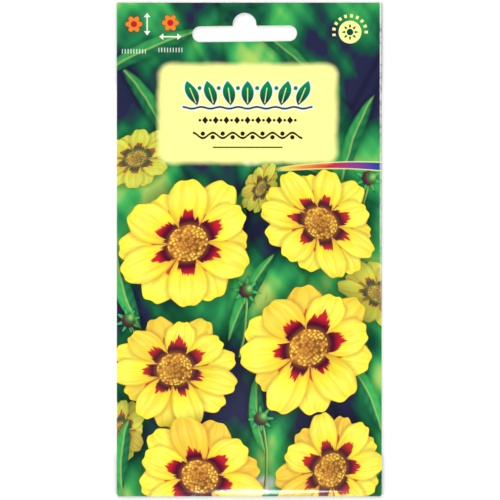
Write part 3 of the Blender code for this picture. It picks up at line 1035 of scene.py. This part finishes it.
def add_flap(sheet, sizes, radius, fold_x):
    """Folds the foot of the front round and up over the back."""
    foot_radius = radius + sizes.layer / 2
    foot = FOOT_Y + BACK_FOOT_INSET
    height = 2 * radius

    def front_foot(edge):
        inside = all(abs(vert.co.x) < fold_x + TINY for vert in edge.verts)
        return inside and at(edge, 1, foot) and at(edge, 2, height)

    select(sheet, front_foot)
    extrude(dy=foot_radius - BACK_FOOT_INSET)
    half_turn((0, FOOT_Y + foot_radius, height - foot_radius), (1, 0, 0))
    rows = round((FLAP - foot_radius) / FACE_SIZE)
    run = (FLAP - foot_radius) / rows
    widths = [1 - i / rows * 2 * FLAP_TAPER / WIDTH for i in range(rows + 1)]
    for before, wide in zip(widths, widths[1:]):
        extrude(dy=run)
        bpy.ops.transform.resize(value=(wide / before, 1, 1), center_override=(0, 0, 0))


def turned_from(x, y, place, degrees):
    """How far along and across a direction points lie, from a place."""
    turn = math.radians(degrees)
    dx, dy = x - place[0], y - place[1]
    return dx * math.cos(turn) + dy * math.sin(turn), -dx * math.sin(turn) + dy * math.cos(turn)


def creases(x, y):
    """Small buckles that fan out from the pocket's corners, and a soft crease at the right edge."""
    total = np.zeros_like(x)
    for *place, degrees, share in BUCKLES:
        along, across = turned_from(x, y, place, degrees)
        fan = across / (BUCKLE_WIDTH + np.abs(along) * BUCKLE_SPREAD)
        reach = smooth(along, *BUCKLE_RISE) * (1 - smooth(along, *BUCKLE_FALL))
        total += share * BUCKLE_HEIGHT * np.cos(fan * 4.2) * np.exp(-fan * fan * 0.8) * reach
    along, across = turned_from(x, y, CREASE_PLACE, CREASE_TURN)
    fade = np.exp(-(across / CREASE_WIDTH) ** 2) * np.exp(-(along / CREASE_REACH) ** 4)
    return total + CREASE_HEIGHT * fade


def settle(sheet, sizes, radius, fold_x):
    """Lifts the foot by the flap's layer, and swells and creases the front panel."""
    mesh = sheet.data
    co = np.empty(len(mesh.vertices) * 3)
    mesh.vertices.foreach_get("co", co)
    co = co.reshape(-1, 3)
    x, y, z = co[:, 0], co[:, 1], co[:, 2].copy()
    height = 2 * radius
    up = y - FOOT_Y
    low = sizes.layer * (1 - smooth(up, *FOOT_STEP))
    front_lift = sizes.layer * (1 - smooth(up, FOOT_STEP[0], FRONT_STEP_END))
    across = np.clip(1 - (2 * x / (WIDTH - height)) ** 2, 0, 1) ** SWELL_ROUNDNESS
    rise = smooth(up, POCKET_FOOT, POCKET_FOOT + POCKET_RISE_RUN)
    fall = 1 - smooth(up, POCKET_TOP - POCKET_FALL_RUN, POCKET_TOP)
    swell = sizes.swell * across * rise * fall
    pitch_x, pitch_y = WAVE_PITCH
    wave = [noise.noise(Vector((a * pitch_x, b * pitch_y, WAVE_SLICE))) for a, b in zip(x, y)]
    edges = np.clip(1 - np.abs(x) / fold_x, 0, 1) ** 0.5
    soft = smooth(up, 0, STILL_FOOT) * (1 - smooth(up, LENGTH - STILL_TOP, LENGTH))
    roll = FOOT_ROLL * smooth(up, *FOOT_ROLL_RISE) * (1 - smooth(up, *FOOT_ROLL_FALL))
    buckles = np.maximum(creases(x, y), LOWEST_BUCKLE)
    lumps = (np.abs(wave) * WAVE_HEIGHT + buckles + roll) * edges ** 0.6 * soft
    front = z > height * FRONT_SHARE
    side = np.abs(x) > fold_x + TINY
    lifted = low + z
    lifted = np.where(side, low + z * (height + front_lift - low) / height, lifted)
    lifted = np.where(front & ~side, z + front_lift + swell + lumps, lifted)
    co[:, 2] = lifted
    mesh.vertices.foreach_set("co", co.ravel())
    mesh.update()


def give_materials(sheet, materials):
    """Front print on the front and the outer half of the folds, back print on the rest."""
    for material in materials:
        sheet.data.materials.append(material)
    for face in sheet.data.polygons:
        face.material_index = 0 if face.normal.z > UPWARD else 1


def add_paper(sheet, sizes):
    """Gives the folded face the paper's thickness, inwards, with the bare paper inside and at its edges."""
    wall = sheet.modifiers.new("paper", "SOLIDIFY")
    wall.thickness = sizes.paper
    wall.offset = -1
    wall.use_even_offset = True
    wall.material_offset = 2
    wall.material_offset_rim = 2
    apply_modifier(sheet, wall)


def boolean(made, operation, other):
    """Joins another object on or cuts it out, and removes it."""
    change = made.modifiers.new(other.name, "BOOLEAN")
    change.operation = operation
    change.object = other
    apply_modifier(made, change)
    bpy.data.objects.remove(other)


def punch_cylinder(name, radius, place, depth):
    """An upright cylinder for a punch."""
    deselect()
    bpy.ops.mesh.primitive_cylinder_add(vertices=SLOT_SIDES, radius=radius, depth=depth, location=place)
    return named(name)


def slot_punch(sizes, materials, name, shift, low, high):
    """The punch for the hanging slot: a cylinder drawn out to a bar, with the bump's cylinder joined on."""
    radius = sizes.slot_height / 2
    middle = (low + high) / 2
    place = (-sizes.slot_left, TOP_Y - sizes.slot_drop + shift, middle)
    punch = punch_cylinder(name, radius, place, high - low)
    bpy.ops.object.mode_set(mode="EDIT")
    for side in (-1, 1):
        select(punch, lambda vert: vert.co.x * side > TINY, "verts")
        bpy.ops.transform.translate(value=(side * (sizes.slot_length / 2 - radius), 0, 0))
    bpy.ops.object.mode_set(mode="OBJECT")
    place = (-sizes.slot_left, TOP_Y - sizes.bump_drop + shift, middle)
    bump = punch_cylinder(name + "_bump", sizes.bump_radius, place, high - low)
    boolean(punch, "UNION", bump)
    punch.rotation_euler = (0, 0, sizes.slot_tilt)
    for material in materials:
        punch.data.materials.append(material)
    for face in punch.data.polygons:
        face.material_index = len(materials) - 1
    return punch


def punch_slot(sheet, sizes, materials, height):
    """Cuts the slot through the front and, a little higher, through the back layers."""
    middle = height - sizes.paper - (sizes.layer - sizes.paper) / 2
    jobs = (
        ("front_punch", 0.0, middle, PUNCH_REACH),
        ("back_punch", sizes.punch_lip, -PUNCH_REACH, middle),
    )
    for name, shift, low, high in jobs:
        boolean(sheet, "DIFFERENCE", slot_punch(sizes, materials, name, shift, low, high))


class PACKET_OT_sheet(Operator):
    """Folds, swells, punches and prints the packet's sheet"""

    bl_idname = "packet.sheet"
    bl_label = "Printed sheet"

    def execute(self, context):
        sizes = context.scene.packet_sizes
        sheet, radius, fold_x = folded_blank(sizes)
        subdivide_long(sheet, 0, FACE_SIZE)
        subdivide_long(sheet, 1, FACE_SIZE)
        bpy.ops.mesh.select_all(action="SELECT")
        bpy.ops.mesh.remove_doubles(threshold=TINY)
        for share in FOOT_STEP_ROWS:
            bpy.ops.mesh.select_all(action="SELECT")
            row = FOOT_Y + FOOT_STEP[0] + share * (FOOT_STEP[1] - FOOT_STEP[0])
            bpy.ops.mesh.bisect(plane_co=(0, row, 0), plane_no=(0, 1, 0))
        add_flap(sheet, sizes, radius, fold_x)
        bpy.ops.mesh.select_all(action="SELECT")
        bpy.ops.mesh.remove_doubles(threshold=TINY)
        bpy.ops.mesh.normals_make_consistent(inside=False)
        bpy.ops.object.mode_set(mode="OBJECT")
        settle(sheet, sizes, radius, fold_x)
        top = max(sheet.data.polygons, key=lambda face: face.center.z)
        if top.normal.z < 0:
            sheet.data.flip_normals()
        materials = [front_print(), back_print(), bare_paper()]
        give_materials(sheet, materials)
        add_paper(sheet, sizes)
        punch_slot(sheet, sizes, materials, 2 * radius)
        deselect()
        sheet.select_set(True)
        bpy.ops.object.shade_smooth_by_angle(angle=SHARP_ANGLE)
        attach(sheet, BODY)
        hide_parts("printed_sheet")
        return {"FINISHED"}


def coat(part, finish):
    """Gives a finish to the solids whose names hold this part."""
    for name, node in frame["nodes"].items():
        if part in name:
            node.data.materials.clear()
            node.data.materials.append(finish)


class PACKET_OT_glue(Operator):
    """Gives the glue strips their finish"""

    bl_idname = "packet.glue"
    bl_label = "Glue"

    def execute(self, context):
        coat("glue", dry_glue())
        return {"FINISHED"}


class PACKET_OT_seeds(Operator):
    """Gives the loose seeds their finish"""

    bl_idname = "packet.seeds"
    bl_label = "Seeds"

    def execute(self, context):
        coat("seed_", seed_coat())
        return {"FINISHED"}


def floor_finish(look):
    """A plain pale floor."""
    press = Press("floor")
    cloud = press.level(press.place(), 0.004, 2.0)
    grey = [part * 0.985 for part in look.floor]
    press.set(Base_Color=press.mix(cloud, grey, look.floor), Roughness=0.9)
    return press.material


def sky(look):
    """Soft light from all round, and a dark patch overhead, so that gloss seen from above stays clear."""
    press = Press("studio", "worlds", "Background")
    up = press.split(press.node("ShaderNodeTexCoord").outputs["Generated"])[2]
    low, high = OVERHEAD_PATCH
    strength = press.node(
        "ShaderNodeMapRange", {"interpolation_type": "SMOOTHSTEP"},
        {"Value": up, "From Min": low, "From Max": high, "To Min": look.sky, "To Max": look.overhead},
    )
    press.set(Color=(1, 1, 1), Strength=strength.outputs["Result"])
    bpy.context.scene.world = press.material


def softbox(name, place, size, power):
    """A soft lamp that looks at the packet."""
    deselect()
    bpy.ops.object.light_add(type="AREA", location=place)
    lamp = named(name)
    lamp.data.shape = "RECTANGLE"
    lamp.data.size, lamp.data.size_y = size
    lamp.data.energy = power
    lamp.rotation_euler = (-Vector(place)).to_track_quat("-Z", "Y").to_euler()


class PACKET_OT_stage(Operator):
    """Adds the floor, the light and the camera"""

    bl_idname = "packet.stage"
    bl_label = "Stage"

    def execute(self, context):
        look = context.scene.packet_stage
        deselect()
        bpy.ops.mesh.primitive_plane_add(size=FLOOR_SIZE, location=(0, 0, -look.floor_gap))
        floor = named("floor")
        floor.data.materials.append(floor_finish(look))
        sky(look)
        softbox("key", *KEY_LAMP)
        softbox("glare", *GLARE_LAMP)
        distance = look.frame * look.lens / SENSOR + SHEET_HIGH.z / 2
        bpy.ops.object.camera_add(location=(look.look_x, look.look_y, distance), rotation=(0, 0, 0))
        camera = context.active_object
        camera.data.lens = look.lens
        camera.data.sensor_width = SENSOR
        camera.data.clip_start = NEAR_CLIP
        context.scene.camera = camera
        context.scene.view_settings.view_transform = "Standard"
        return {"FINISHED"}


class PACKET_PT_panel(Panel):
    """Lists the packet's steps"""

    bl_label = "Seed packet"
    bl_idname = "PACKET_PT_panel"
    bl_space_type = "VIEW_3D"
    bl_region_type = "UI"
    bl_category = "Packet"

    def draw(self, context):
        for group in (context.scene.packet_sizes, context.scene.packet_inks, context.scene.packet_stage):
            box = self.layout.box()
            for name in group.__annotations__:
                box.prop(group, name)
        for step in STEPS:
            self.layout.operator(step.bl_idname)


STEPS = (PACKET_OT_sheet, PACKET_OT_glue, PACKET_OT_seeds, PACKET_OT_stage)
GROUPS = (PacketSizes, PrintInks, StageLook)


def register():
    """Adds the classes and the scene's settings."""
    for item in (*GROUPS, *STEPS, PACKET_PT_panel):
        bpy.utils.register_class(item)
    bpy.types.Scene.packet_sizes = PointerProperty(type=PacketSizes)
    bpy.types.Scene.packet_inks = PointerProperty(type=PrintInks)
    bpy.types.Scene.packet_stage = PointerProperty(type=StageLook)


def unregister():
    """Takes them away again."""
    del bpy.types.Scene.packet_stage
    del bpy.types.Scene.packet_inks
    del bpy.types.Scene.packet_sizes
    for item in reversed((*GROUPS, *STEPS, PACKET_PT_panel)):
        bpy.utils.unregister_class(item)


def main():
    """Dresses the packet."""
    register()
    bpy.ops.packet.sheet()
    bpy.ops.packet.glue()
    bpy.ops.packet.seeds()
    bpy.ops.packet.stage()


if __name__ == "__main__":
    main()
